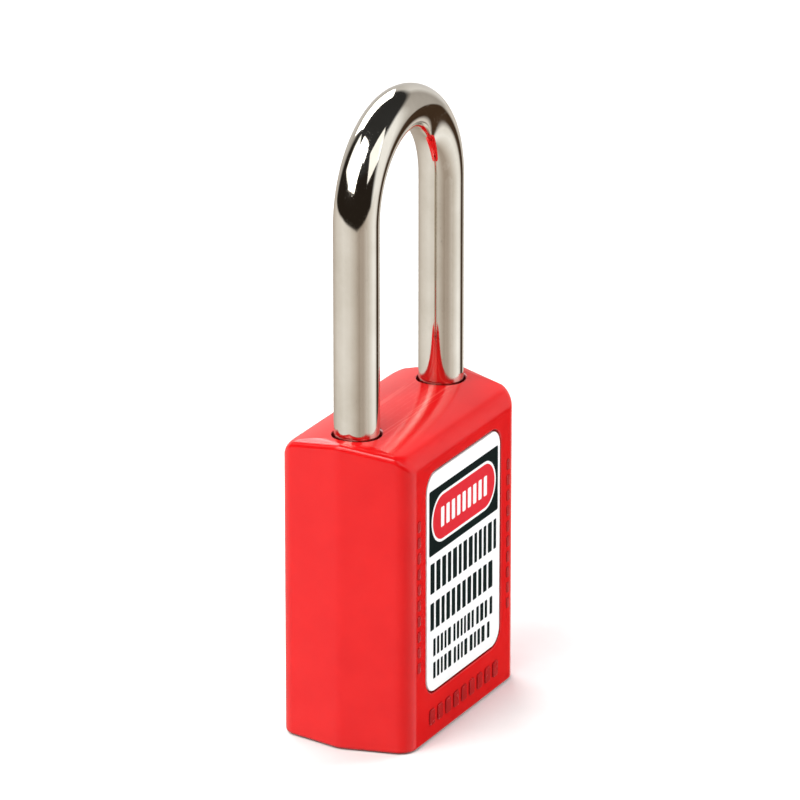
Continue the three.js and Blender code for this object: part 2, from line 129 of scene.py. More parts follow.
# cylinder
PINS = 6
pin_boxes = [box_mm(f"driver_pin_{i + 1}") for i in range(PINS)]
PIN_HEIGHTS = [(low.z + high.z) / 2 for low, high in pin_boxes]
CHAMBER_R = 1.45
PLUG_R = 6.0
PLUG_BORE_R = 6.2
KEYWAY_IN = -2.9
HOUSING_TOP = 23.0
SCREW_R = 1.4


# ---------------------------------------------------------------- meshes

def link(name, mesh, materials):
    thing = bpy.data.objects.new(name, mesh)
    bpy.context.scene.collection.objects.link(thing)
    for material in materials:
        mesh.materials.append(material)
    return thing


def build(name, rings, material, caps=True):
    """Skin over rings of points that all have the same number of points."""
    count = len(rings[0])
    points = [Vector(p) * MM for ring in rings for p in ring]
    faces = []
    for k in range(len(rings) - 1):
        for i in range(count):
            a, b = k * count + i, k * count + (i + 1) % count
            faces.append((a, b, b + count, a + count))
    if caps:
        faces.append(tuple(reversed(range(count))))
        last = (len(rings) - 1) * count
        faces.append(tuple(range(last, last + count)))
    mesh = bpy.data.meshes.new(name)
    mesh.from_pydata(points, [], faces)
    tidy(mesh)
    return link(name, mesh, [material])


def tidy(mesh):
    """Merges doubled points, drops faces with no area and turns every face outwards."""
    edit = bmesh.new()
    edit.from_mesh(mesh)
    bmesh.ops.remove_doubles(edit, verts=edit.verts, dist=1e-7)
    bmesh.ops.dissolve_degenerate(edit, edges=edit.edges, dist=1e-8)
    bmesh.ops.recalc_face_normals(edit, faces=edit.faces)
    edit.to_mesh(mesh)
    edit.free()


def combine(thing, tool, operation="DIFFERENCE"):
    """Cuts thing with tool, or joins them, and removes the tool."""
    modifier = thing.modifiers.new(operation, "BOOLEAN")
    modifier.object = tool
    modifier.operation = operation
    modifier.solver = "EXACT"
    graph = bpy.context.evaluated_depsgraph_get()
    mesh = bpy.data.meshes.new_from_object(thing.evaluated_get(graph))
    thing.modifiers.clear()
    old, thing.data = thing.data, mesh
    bpy.data.meshes.remove(old)
    bpy.data.objects.remove(tool)


def merge(name, things):
    """One object out of several that share a material."""
    joined = bmesh.new()
    for thing in things:
        joined.from_mesh(thing.data)
    mesh = bpy.data.meshes.new(name)
    joined.to_mesh(mesh)
    joined.free()
    material = things[0].data.materials[0]
    for thing in things:
        bpy.data.meshes.remove(thing.data)
    return link(name, mesh, [material])


def smooth(thing, angle=32):
    thing.data.shade_smooth()
    thing.data.set_sharp_from_angle(angle=math.radians(angle))
    modifier = thing.modifiers.new("even_normals", "WEIGHTED_NORMAL")
    modifier.keep_sharp = True
    modifier.weight = 90
    return thing


def attach(thing, body):
    """Makes the piece ride on a body."""
    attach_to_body(thing, body)


def finish_piece(thing, body, node_name, angle=32):
    """Cleans and attaches a piece that stands for a CAD node."""
    tidy(thing.data)
    smooth(thing, angle)
    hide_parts(node_name)
    attach(thing, body)


def rounded(corners, radii, steps, closed=True):
    """A line through 2-D corners with each corner turned into an arc of its own radius."""
    points = []
    count = len(corners)
    for i, corner in enumerate(corners):
        here = Vector(corner)
        if radii[i] == 0 or (not closed and i in (0, count - 1)):
            points.append(here)
            continue
        before = (Vector(corners[i - 1]) - here).normalized()
        after = (Vector(corners[(i + 1) % count]) - here).normalized()
        half = math.acos(max(-1, min(1, before.dot(after)))) / 2
        centre = here + (before + after).normalized() * (radii[i] / math.sin(half))
        start = here + before * (radii[i] / math.tan(half)) - centre
        side = before.x * after.y - before.y * after.x
        turn = -math.copysign(math.pi - 2 * half, side)
        for k in range(steps + 1):
            spoke = Matrix.Rotation(turn * k / steps, 2) @ start
            points.append(centre + spoke)
    return points


def inset(outline, distance):
    """The closed outline moved inwards, or outwards by a negative distance. It runs counter-clockwise."""
    moved = []
    for i, here in enumerate(outline):
        back = (here - outline[i - 1]).normalized()
        ahead = (outline[(i + 1) % len(outline)] - here).normalized()
        direction = (back + ahead).normalized()
        normal = Vector((-direction.y, direction.x))
        lean = max(0.5, normal.dot(Vector((-back.y, back.x))))
        moved.append(here + normal * (distance / lean))
    return moved


PLACE = {
    "x": lambda u, v, w: (w, u, v),
    "y": lambda u, v, w: (u, w, v),
    "z": lambda u, v, w: (u, v, w),
}


def prism(name, outline, axis, low, high, material, edge=0.0, steps=3):
    """An outline extruded along an axis, with its end edges rounded by `edge`."""
    area = sum(a.x * b.y - b.x * a.y for a, b in zip(outline, outline[1:] + outline[:1]))
    if area < 0:
        outline = list(reversed(outline))
    place = PLACE[axis]
    rings = []
    if edge:
        for k in range(steps + 1):
            angle = QUARTER * k / steps
            ring = inset(outline, edge * (1 - math.sin(angle)))
            rings.append([place(p.x, p.y, low + edge * (1 - math.cos(angle))) for p in ring])
        for k in range(steps + 1):
            angle = QUARTER * k / steps
            ring = inset(outline, edge * (1 - math.cos(angle)))
            rings.append([place(p.x, p.y, high - edge * (1 - math.sin(angle))) for p in ring])
    else:
        rings = [[place(p.x, p.y, w) for p in outline] for w in (low, high)]
    return build(name, rings, material)


def turned(name, profile, sides, material, at=(0, 0, 0), along="z"):
    """A profile of (radius, height) points, from axis to axis, turned about a line through `at`."""
    place = PLACE[along]
    rings = []
    for radius, height in profile:
        ring = []
        for i in range(sides):
            angle = 2 * math.pi * (i + 0.5) / sides
            point = Vector(place(radius * math.cos(angle), radius * math.sin(angle), height))
            ring.append(point + Vector(at))
        rings.append(ring)
    return build(name, rings, material, caps=False)


def hex_plan(ridge, face, depth, corner_r, ridge_r, steps):
    """The body's six-sided plan: a ridge on each side, and flat faces in front and behind."""
    corners = [(ridge, 0), (face, depth), (-face, depth), (-ridge, 0), (-face, -depth), (face, -depth)]
    radii = [ridge_r, corner_r, corner_r, ridge_r, corner_r, corner_r]
    return rounded(corners, radii, steps)


def inset_plan(distance, depth=None):
    """The body's plan moved inwards, for the pocket and for the parts that fit in it."""
    depth = DEPTH_Y - distance if depth is None else depth
    slope = (RIDGE_X - FACE_X) / DEPTH_Y
    ridge = RIDGE_X - distance
    return hex_plan(ridge, ridge - slope * depth, depth, CORNER_R / 2, RIDGE_R / 2, steps=8)


def bar_outline(x, z, half_w, half_h, radius, steps):
    """A rectangle round (x, z) with rounded corners."""
    corners = [(x - half_w, z - half_h), (x + half_w, z - half_h),
               (x + half_w, z + half_h), (x - half_w, z + half_h)]
    return rounded(corners, [radius] * 4, steps)


def plate_outline(width, height, middle, radius, steps):
    """A rounded rectangle on the body's middle line."""
    return bar_outline(0, middle, width / 2, height / 2, radius, steps)


# ---------------------------------------------------------------- materials

def node(tree, kind, inputs=None, **settings):
    made = tree.nodes.new(kind)
    for key, value in settings.items():
        setattr(made, key, value)
    for key, value in (inputs or {}).items():
        if isinstance(value, bpy.types.NodeSocket):
            tree.links.new(value, made.inputs[key])
        else:
            made.inputs[key].default_value = value
    return made


def noise(tree, where, scale, detail=4.0, roughness=0.55):
    inputs = {"Vector": where, "Scale": scale, "Detail": detail, "Roughness": roughness}
    return node(tree, "ShaderNodeTexNoise", inputs).outputs["Fac"]


def spread(tree, value, from_low, from_high, to_low=0.0, to_high=1.0):
    """Carries one range over to another and holds at its ends."""
    inputs = {0: value, 1: from_low, 2: from_high, 3: to_low, 4: to_high}
    return node(tree, "ShaderNodeMapRange", inputs, clamp=True).outputs[0]


def mix(tree, factor, first, second):
    made = node(tree, "ShaderNodeMix", {0: factor}, data_type="RGBA")
    for index, value in ((6, first), (7, second)):
        if isinstance(value, bpy.types.NodeSocket):
            tree.links.new(value, made.inputs[index])
        else:
            made.inputs[index].default_value = (*value, 1.0)
    return made.outputs[2]


def math_node(tree, operation, first, second):
    return node(tree, "ShaderNodeMath", {0: first, 1: second}, operation=operation).outputs[0]


def surface(name, dark, light, rough, grain, depth, metallic=0.0, stretch=(1, 1, 1), worn=None,
            scratches=0.0, specular=0.5, painted_crevice_shade=0.0):
    """A finish with colour patches between two shades, uneven gloss, a fine grain in relief, hairline
    scratches, worn edges and painted shade that darkens the colour in hollows. rough is (low, high), grain
    is lumps per mm, depth is the grain's height in mm, and worn is a colour with its strength."""
    material = bpy.data.materials.new(name)
    material.use_nodes = True
    tree = material.node_tree
    shader = tree.nodes["Principled BSDF"]
    place = node(tree, "ShaderNodeTexCoord").outputs["Object"]
    scaled = [factor / MM for factor in stretch]
    where = node(tree, "ShaderNodeVectorMath", {0: place, 1: scaled}, operation="MULTIPLY").outputs[0]
    patches = spread(tree, noise(tree, where, 0.11, 5.0), 0.35, 0.68)
    colour = mix(tree, patches, dark, light)
    smudges = spread(tree, noise(tree, where, 0.42, 6.0, 0.65), 0.3, 0.7)
    gloss = spread(tree, smudges, 0.0, 1.0, rough[0], rough[1])
    lumps = noise(tree, where, grain, 3.0)
    height = lumps
    if scratches:
        lean = node(tree, "ShaderNodeVectorRotate", {"Vector": where, "Angle": 0.5},
                    rotation_type="Y_AXIS").outputs[0]
        thin = node(tree, "ShaderNodeVectorMath", {0: lean, 1: (9.0, 9.0, 0.35)},
                    operation="MULTIPLY").outputs[0]
        lines = spread(tree, noise(tree, thin, 0.6, 2.0, 0.4), 0.66, 0.74)
        across = node(tree, "ShaderNodeVectorMath", {0: where, 1: (0.5, 6.0, 7.0)},
                      operation="MULTIPLY").outputs[0]
        more = spread(tree, noise(tree, across, 0.5, 2.0, 0.4), 0.68, 0.75)
        marks = math_node(tree, "MAXIMUM", lines, more)
        gloss = math_node(tree, "ADD", gloss, math_node(tree, "MULTIPLY", marks, scratches))
        height = math_node(tree, "SUBTRACT", lumps, math_node(tree, "MULTIPLY", marks, 0.25))
    if worn:
        sharp = node(tree, "ShaderNodeNewGeometry").outputs["Pointiness"]
        uneven = spread(tree, noise(tree, where, 0.9), 0.3, 0.7, -0.02, 0.02)
        ragged = math_node(tree, "ADD", sharp, uneven)
        edge = spread(tree, ragged, 0.53, 0.6, 0.0, worn[3])
        colour = mix(tree, edge, colour, worn[:3])
        gloss = math_node(tree, "ADD", gloss, math_node(tree, "MULTIPLY", edge, 0.12))
    # Painted shade: where ambient occlusion finds hollows, creases and recess edges, the colour is darkened
    # towards a deeper copy of the dark tone, standing in for the shade that falls there.
    if painted_crevice_shade:
        reach, samples, shade_darkening = 0.6 * MM, 6, 0.3
        shade = node(tree, "ShaderNodeAmbientOcclusion", {"Distance": reach}, samples=samples).outputs["AO"]
        painted_shade = spread(tree, shade, 0.45, 0.98, painted_crevice_shade, 0.0)
        colour = mix(tree, painted_shade, colour, tuple(c * shade_darkening for c in dark))
    bump = node(tree, "ShaderNodeBump", {"Height": height, "Strength": 1.0, "Distance": depth * MM})
    tree.links.new(colour, shader.inputs["Base Color"])
    tree.links.new(gloss, shader.inputs["Roughness"])
    tree.links.new(bump.outputs[0], shader.inputs["Normal"])
    shader.inputs["Metallic"].default_value = metallic
    shader.inputs["Specular IOR Level"].default_value = specular
    return material


# The red plastic carries painted shade: darker colour in its hollows and round its recesses and raised
# marks.
RED = surface("red_plastic", (0.67, 0.006, 0.008), (0.72, 0.009, 0.010), (0.13, 0.19), 7.0, 0.0018,
              worn=(0.9, 0.12, 0.1, 0.3), scratches=0.02, specular=0.33, painted_crevice_shade=0.95)
# Painted shade: a darker copy of the red plastic for the raised bars and ticks, so that the relief reads as
# shaded.
RED_PAINTED_SHADE = surface("red_painted_shade", (0.4, 0.004, 0.006), (0.47, 0.006, 0.008), (0.2, 0.3), 7.0, 0.0018,
                     specular=0.3)
BLACK = surface("black_plastic", (0.012, 0.012, 0.013), (0.02, 0.02, 0.021), (0.38, 0.52), 6.0, 0.006,
                worn=(0.09, 0.09, 0.09, 0.5))
NICKEL = surface("nickel", (0.66, 0.62, 0.54), (0.78, 0.745, 0.67), (0.04, 0.1), 9.0, 0.0006, 1.0,
                 worn=(0.9, 0.88, 0.82, 0.4), scratches=0.12)
ZINC = surface("zinc", (0.36, 0.37, 0.38), (0.47, 0.48, 0.49), (0.34, 0.5), 5.0, 0.008, 1.0,
               worn=(0.62, 0.62, 0.63, 0.5))
BRASS = surface("brass", (0.55, 0.39, 0.13), (0.7, 0.51, 0.2), (0.22, 0.36), 6.0, 0.003, 1.0,
                stretch=(1, 1, 5), worn=(0.85, 0.68, 0.35, 0.5))
BRIGHT_BRASS = surface("bright_brass", (0.62, 0.45, 0.17), (0.76, 0.58, 0.26), (0.16, 0.28), 7.0, 0.002,
                       1.0, stretch=(5, 1, 1), worn=(0.9, 0.75, 0.42, 0.5))
STEEL = surface("hard_steel", (0.5, 0.5, 0.51), (0.62, 0.62, 0.63), (0.14, 0.26), 8.0, 0.0015, 1.0,
                worn=(0.75, 0.75, 0.76, 0.4), scratches=0.1)
WIRE = surface("spring_wire", (0.42, 0.42, 0.43), (0.55, 0.55, 0.57), (0.2, 0.32), 9.0, 0.0015, 1.0)
BLACK_STEEL = surface("black_steel", (0.03, 0.03, 0.032), (0.06, 0.06, 0.062), (0.28, 0.42), 6.0, 0.004,
                      0.8, worn=(0.35, 0.35, 0.36, 0.6))
LABEL = surface("label_film", (0.92, 0.925, 0.925), (0.95, 0.95, 0.945), (0.3, 0.4), 5.0, 0.001,
                specular=0.3)
INK_BLACK = surface("ink_black", (0.002, 0.007, 0.007), (0.003, 0.011, 0.010), (0.4, 0.5), 8.0, 0.0008,
                    specular=0.03)
INK_RED = surface("ink_red", (0.66, 0.003, 0.014), (0.72, 0.005, 0.020), (0.36, 0.46), 8.0, 0.0008,
                  specular=0.2)
INK_WHITE = surface("ink_white", (0.88, 0.88, 0.88), (0.92, 0.92, 0.92), (0.36, 0.46), 8.0, 0.0008,
                    specular=0.25)
INK_GREY = surface("ink_grey", (0.28, 0.29, 0.3), (0.36, 0.37, 0.38), (0.4, 0.5), 8.0, 0.0008,
                   specular=0.2)


# ---------------------------------------------------------------- red body

def crown(y):
    """Height of the crowned top."""
    return BODY_TOP - CROWN_DROP * (y / DEPTH_Y) ** 2


def body_skin():
    """Rings up the sides, over the top edge and in to the middle line of the crowned top."""
    corner_steps, edge_steps, fillet_steps, top_steps = 14, 6, 14, 10
    plan = hex_plan(RIDGE_X, FACE_X, DEPTH_Y, CORNER_R, RIDGE_R, corner_steps)
    normals = []
    for i in range(len(plan)):
        chord = plan[(i + 1) % len(plan)] - plan[i - 1]
        normals.append(Vector((chord.y, -chord.x)).normalized())

    def low_ring(distance, z, keep=1.0):
        """The plan moved inwards at height z, drawn in to the middle line as keep goes to 0."""
        return [(p.x - n.x * distance, (p.y - n.y * distance) * keep, z) for p, n in zip(plan, normals)]

    def top_ring(angle, keep=1.0):
        """A ring on the top edge's fillet, from 0 at the side to a quarter turn on the top."""
        ring = []
        inward = 1 - math.cos(angle)
        for p, n in zip(plan, normals):
            across, along = n.x * SIDE_TOP_R, n.y * FACE_TOP_R
            y = (p.y - along * inward) * keep
            drop = math.hypot(across, along) * (1 - math.sin(angle))
            ring.append((p.x - across * inward, y, crown(y) - drop))
        return ring

    rings = [low_ring(BOTTOM_R, 0, keep) for keep in (0, 0.5, 1)]
    for k in range(1, edge_steps + 1):
        angle = QUARTER * k / edge_steps
        rings.append(low_ring(BOTTOM_R * (1 - math.sin(angle)), BOTTOM_R * (1 - math.cos(angle))))
    side_low, side_high, side_step = 4, 36, 4
    rings += [low_ring(0, z) for z in range(side_low, side_high + 1, side_step)]
    rings += [top_ring(QUARTER * k / fillet_steps) for k in range(fillet_steps + 1)]
    rings += [top_ring(QUARTER, 1 - k / top_steps) for k in range(1, top_steps + 1)]
    return build("body_moulding", rings, RED, caps=False)


def leg_hole(side):
    """Tool for a leg's hole, flared at the crowned top so that the hole gets a rounded lip."""
    lip, steps, start, above, lip_top = 0.35, 8, POCKET_TOP - 2, BODY_TOP + 0.2, BODY_TOP - 0.15
    profile = [(0, start), (LEG_HOLE_R, start)]
    for k in range(steps + 1):
        angle = QUARTER * k / steps
        radius = LEG_HOLE_R + lip * (1 - math.cos(angle))
        profile.append((radius, lip_top - lip * (1 - math.sin(angle))))
    profile += [(LEG_HOLE_R + lip + 0.15, above), (0, above)]
    return turned("tool", profile, LEG_ROUND, RED, (side * LEG_X, 0, 0))


def recess_tool(node_name, side):
    """Tool for a label's recess, with a flared rim that rounds the recess's edge."""
    low, high = box_mm(node_name)
    width, height = high.x - low.x + 2 * RECESS_MARGIN, high.z - low.z + 2 * RECESS_MARGIN
    outline = plate_outline(width, height, (low.z + high.z) / 2, LABEL_R + RECESS_MARGIN, steps=12)
    floor_r, floor_steps, lip_steps = 0.2, 4, 6
    rings = []

    def ring(outward, y):
        rings.append([(p.x, side * y, p.y) for p in inset(outline, -outward)])

    for k in range(floor_steps + 1):
        angle = QUARTER * k / floor_steps
        ring(-floor_r * (1 - math.sin(angle)), DEPTH_Y - RECESS + floor_r * (1 - math.cos(angle)))
    for k in range(lip_steps + 1):
        angle = QUARTER * k / lip_steps
        ring(LIP * (1 - math.cos(angle)), DEPTH_Y - LIP * (1 - math.sin(angle)))
    ring(LIP + 0.02, DEPTH_Y + 0.5)
    return build("tool", rings, RED)


def red_body():
    body = body_skin()
    combine(body, prism("tool", inset_plan(WALL), "z", -1, POCKET_TOP, RED))
    for side in (-1, 1):
        combine(body, leg_hole(side))
    combine(body, recess_tool("front_label", -1))
    combine(body, recess_tool("back_label", 1))
    finish_piece(body, "housing", "body_shell")


def edge_ticks():
    """A faint upright row of small raised ticks in each margin beside the label, in a darker red that paints
    their shade.
    """
    count, first_z, pitch, row_x = 10, 12.0, 2.3, 14.0
    half_w, half_h, corner_r, raised, edge = 0.4, 0.75, 0.2, 0.1, 0.06
    face = -DEPTH_Y
    for side in (-1, 1):
        ticks = []
        for i in range(count):
            outline = bar_outline(side * row_x, first_z + i * pitch, half_w, half_h, corner_r, steps=3)
            low, high = face - raised, face + raised
            ticks.append(prism("tick", outline, "y", low, high, RED_PAINTED_SHADE, edge, steps=2))
        row = merge("raised_ticks_" + ("left" if side < 0 else "right"), ticks)
        smooth(row)
        attach(row, "housing")


def raised_marks():
    """The even row of small raised bars under the label, in a darker red that paints their shade."""
    root, corner_r, edge = 0.15, 0.35, 0.1
    face = -DEPTH_Y
    for i in range(MARKS):
        x = (i - (MARKS - 1) / 2) * MARK_PITCH
        outline = bar_outline(x, MARK_Z, MARK_W / 2, MARK_H / 2, corner_r, steps=5)
        name = f"raised_bar_{i + 1}"
        bar = prism(name, outline, "y", face - MARK_RAISED, face + root, RED_PAINTED_SHADE, edge)
        smooth(bar)
        attach(bar, "housing")


# ---------------------------------------------------------------- labels

def label_plate(name, node_name):
    """A label's film, with softened edges. Returns the corners of its box."""
    low, high = box_mm(node_name)
    outline = plate_outline(high.x - low.x, high.z - low.z, (low.z + high.z) / 2, LABEL_R, steps=12)
    plate = prism(name, outline, "y", low.y, high.y, LABEL, edge=0.08)
    smooth(plate)
    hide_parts(node_name)
    attach(plate, "housing")
    return low, high


def print_shape(name, outlines, face_y, level, material):
    """Printed areas as one thin raised film. level counts the layers of ink below it."""
    thick, sunk = 0.012, 0.01
    side = 1 if face_y > 0 else -1
    low, high = sorted((face_y + side * (level * thick - sunk), face_y + side * (level + 1) * thick))
    films = [prism("film", outline, "y", low, high, material) for outline in outlines]
    attach(merge(name, films), "housing")


def block_row(draw, left, right, low, high, widths, gap, group_gap):
    """A row of upright blocks in word-like groups, in place of a line of print. No letters are drawn."""
    x = left
    fewest, most, largest_r = 3, 6, 0.16
    outlines = []
    while x < right - widths[0]:
        for _ in range(draw.randint(fewest, most)):
            width = draw.uniform(*widths)
            if x + width > right:
                break
            corners = [(x, low), (x + width, low), (x + width, high), (x, high)]
            outlines.append(rounded(corners, [min(largest_r, width / 4)] * 4, steps=3))
            x += width + gap
        x += group_gap
    return outlines


def header_band(middle, top, face):
    """The dark band with its pill and the pill's blocks, in the upper part of the front label."""
    width, height, down, corner_r = 21.6, 9.5, 2.4, 0.3
    z = top - down - height / 2
    band = plate_outline(width, height, z, corner_r, steps=3)
    print_shape("label_header", [band], face, 0, INK_BLACK)
    for name, less_width, less_height, level, ink in (
            ("label_pill_rim", 1.4, 2.3, 1, INK_WHITE), ("label_pill", 2.2, 3.1, 2, INK_RED)):
        round_end = (height - less_height) / 2 - 0.01
        pill = plate_outline(width - less_width, height - less_height, z, round_end, steps=14)
        print_shape(name, [pill], face, level, ink)
    count, block_w, gap, half_h, block_r = 9, 1.0, 0.68, 1.45, 0.2
    blocks = []
    for i in range(count):
        x = middle + (i - (count - 1) / 2) * (block_w + gap)
        blocks.append(bar_outline(x, z, block_w / 2, half_h, block_r, steps=3))
    print_shape("label_pill_blocks", blocks, face, 3, INK_WHITE)


def front_label():
    low, high = label_plate("front_label_plate", "front_label")
    top = high.z
    header_band((low.x + high.x) / 2, top, low.y)
    draw = random.Random(11)
    wide, narrow = (0.8, 1.35), (0.6, 1.0)
    rows = []
    # start and end below the label's top, side margin, block widths, gap, and further gap between groups
    for start, end, margin, widths, gap, group_gap in (
            (13.1, 17.5, 1.1, wide, 0.55, 0.0), (18.9, 22.9, 1.1, wide, 0.55, 0.0),
            (24.3, 26.9, 2.0, narrow, 0.46, 0.35), (27.8, 30.2, 2.0, narrow, 0.46, 0.35)):
        left, right = low.x + margin, high.x - margin
        rows += block_row(draw, left, right, top - end, top - start, widths, gap, group_gap)
    print_shape("label_lines", rows, low.y, 0, INK_BLACK)


def back_label():
    """A plain write-on label: a coloured band over four ruled lines."""
    low, high = label_plate("back_label_plate", "back_label")
    count, first_down, pitch, margin, thick = 4, 11, 4.6, 2, 0.25
    left, right = low.x + margin, high.x - margin
    lines = []
    for k in range(count):
        z = high.z - first_down - k * pitch
        corners = ((left, z), (right, z), (right, z + thick), (left, z + thick))
        lines.append([Vector(corner) for corner in corners])
    print_shape("back_label_lines", lines, high.y, 0, INK_GREY)
    band_margin, band_h, band_down, band_r = 1.6, 4.4, 4.2, 0.8
    band = plate_outline(high.x - low.x - 2 * band_margin, band_h, high.z - band_down, band_r, steps=6)
    print_shape("back_label_band", [band], high.y, 0, INK_RED)


# ---------------------------------------------------------------- shackle

def bar_ring(x, z, angle, radius):
    """Points round the bar. angle is how far the bow has turned: 0 on the heel leg, pi on the toe leg."""
    out = Vector((math.cos(angle), 0, math.sin(angle)))
    ring = []
    for i in range(BAR_ROUND):
        turn = 2 * math.pi * (i + 0.5) / BAR_ROUND
        aside = Vector((0, radius * math.sin(turn), 0))
        ring.append(Vector((x, 0, z)) + out * (radius * math.cos(turn)) + aside)
    return ring


def bar_end(z):
    """Radius and height pairs up round the edge of the bar's end at height z."""
    edge, steps = 0.6, 6
    pairs = []
    for k in range(steps + 1):
        angle = QUARTER * k / steps
        pairs.append((ROD_R - edge * (1 - math.sin(angle)), z + edge * (1 - math.cos(angle))))
    return pairs


def neck():
    """Radius and height pairs up along the heel leg's neck, with soft shoulders and filleted roots."""
    fillet = 0.35
    return [(ROD_R, NECK_LOW - 0.3), (ROD_R - 0.1, NECK_LOW - 0.08), (ROD_R - 0.3, NECK_LOW),
            (NECK_R + fillet, NECK_LOW), (NECK_R + 0.1, NECK_LOW + 0.12), (NECK_R, NECK_LOW + fillet),
            (NECK_R, NECK_HIGH - fillet), (NECK_R + 0.1, NECK_HIGH - 0.12), (NECK_R + fillet, NECK_HIGH),
            (ROD_R - 0.3, NECK_HIGH), (ROD_R - 0.08, NECK_HIGH + 0.1), (ROD_R, NECK_HIGH + 0.3)]


def shackle():
    """One bent bar: up the heel leg with its neck, round the bow and down the toe leg."""
    step, bow_steps = 2, 72
    rings = [bar_ring(LEG_X, z, 0, radius) for radius, z in bar_end(HEEL_END) + neck()]
    z = NECK_HIGH + step
    while z < BOW_Z - 1:
        rings.append(bar_ring(LEG_X, z, 0, ROD_R))
        z += step
    for k in range(bow_steps + 1):
        angle = math.pi * k / bow_steps
        rings.append(bar_ring(LEG_X * math.cos(angle), BOW_Z + LEG_X * math.sin(angle), angle, ROD_R))
    z = BOW_Z - step
    while z > TOE_END + step:
        rings.append(bar_ring(-LEG_X, z, math.pi, ROD_R))
        z -= step
    rings += [bar_ring(-LEG_X, z, math.pi, radius) for radius, z in reversed(bar_end(TOE_END))]
    bar = build("shackle_bar", rings, NICKEL)
    for side in (-1, 1):
        combine(bar, ball_notch(side))
    finish_piece(bar, "shackle_body", "shackle")


def ball_notch(side):
    """Tool for the notch that a ball leaves as the shackle rises and the ball moves in."""
    reach = BALL_R + BALL_X - (LEG_X - ROD_R)
    fall = reach / BALL_TRAVEL * LIFT
    radius, steps = BALL_R + BALL_PLAY, 16
    half = math.hypot(reach, fall) / 2
    profile = []
    for middle, first in ((-half, -QUARTER), (half, 0)):
        for k in range(steps + 1):
            angle = first + QUARTER * k / steps
            profile.append((radius * math.cos(angle), middle + radius * math.sin(angle)))
    tool = turned("tool", profile, BALL_ROUND, NICKEL)
    lean = Matrix.Rotation(side * math.atan2(reach, fall), 4, "Y")
    middle = Vector((side * (BALL_X - reach / 2), 0, BALL_Z - fall / 2)) * MM
    tool.data.transform(Matrix.Translation(middle) @ lean)
    return tool


# ---------------------------------------------------------------- springs

def coil(name, start, along, side, length, coil_r, wire_r, turns, steps_per_turn, sides):
    """A wound spring from a start point along an axis, with closed end turns. side is where it starts."""
    along, side = Vector(along), Vector(side)
    cross = along.cross(side)
    flat = 2.1 * wire_r
    climb = (length - 2 * wire_r - 2 * flat) / (turns - 2)

    def centre(turn):
        if turn < 1:
            height = flat * turn
        elif turn > turns - 1:
            height = length - 2 * wire_r - flat * (turns - turn)
        else:
            height = flat + climb * (turn - 1)
        angle = 2 * math.pi * turn
        point = Vector(start) + along * (wire_r + height)
        return point + side * (coil_r * math.cos(angle)) + cross * (coil_r * math.sin(angle))

    rings = []
    for k in range(turns * steps_per_turn + 1):
        turn = k / steps_per_turn
        forward = (centre(turn + 0.01) - centre(turn - 0.01)).normalized()
        out = side * math.cos(2 * math.pi * turn) + cross * math.sin(2 * math.pi * turn)
        up = forward.cross(out)
        ring = []
        for i in range(sides):
            angle = 2 * math.pi * i / sides
            ring.append(centre(turn) + out * (wire_r * math.cos(angle)) + up * (wire_r * math.sin(angle)))
        rings.append(ring)
    return smooth(build(name, rings, WIRE), 50)


def springs():
    low, high = box_mm("shackle_spring")
    up, length, coil_r, wire_r, turns = (0, 0, 1), high.z - low.z, 2.5, 0.35, 7
    spring = coil("heel_spring", (LEG_X, 0, low.z), up, (1, 0, 0), length, coil_r, wire_r, turns,
                  steps_per_turn=28, sides=14)
    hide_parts("shackle_spring")
    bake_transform(spring)
    inward, coil_r, wire_r, turns = (-1, 0, 0), 1.0, 0.16, 5
    for i in range(PINS):
        low, high = box_mm(f"pin_spring_{i + 1}")
        first = (high.x, 0, (low.z + high.z) / 2)
        name = f"pin_coil_{i + 1}"
        spring = coil(name, first, inward, up, high.x - low.x, coil_r, wire_r, turns,
                      steps_per_turn=20, sides=10)
        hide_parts(f"pin_spring_{i + 1}")
        attach(spring, "housing")


# ---------------------------------------------------------------- cylinder

def soft_profile(corners, radius):
    """A profile from axis to axis with its corners rounded."""
    radii = [radius if 0 < i < len(corners) - 1 else 0 for i in range(len(corners))]
    return [(p.x, p.y) for p in rounded(corners, radii, steps=4, closed=False)]


def cylinder(radius, low, high):
    """The profile of a plain cylinder."""
    return [(0, low), (radius, low), (radius, high), (0, high)]


def rod_tool(radius, low, high, at, along, sides):
    return turned("tool", cylinder(radius, low, high), sides, STEEL, at, along)


def rectangle(half_x, half_y):
    return [(-half_x, -half_y), (half_x, -half_y), (half_x, half_y), (-half_x, half_y)]


def bottom_cap():
    """The plate in the body's mouth, with a lipped opening for the plug and a spigot for the spring."""
    high = box_mm("bottom_cap")[1]
    plate_top, play, edge = 3.0, 0.2, 0.25
    cap = prism("bottom_cap_plate", inset_plan(WALL + play), "z", 0, plate_top, BLACK, edge)
    spigot = soft_profile(cylinder(1.9, plate_top - 0.5, high.z), 0.3)
    combine(cap, turned("tool", spigot, SMALL_ROUND, BLACK, (LEG_X, 0, 0)), "UNION")
    hole_r, lip, steps = 7.2, 0.3, 6
    hole = [(0, -0.5), (hole_r + lip + 0.05, -0.5)]
    for k in range(steps + 1):
        angle = QUARTER * k / steps
        hole.append((hole_r + lip * (1 - math.sin(angle)), lip * (1 - math.cos(angle))))
    hole += [(hole_r, plate_top + 1), (0, plate_top + 1)]
    combine(cap, turned("tool", hole, LEG_ROUND, BLACK))
    finish_piece(cap, "housing", "bottom_cap")


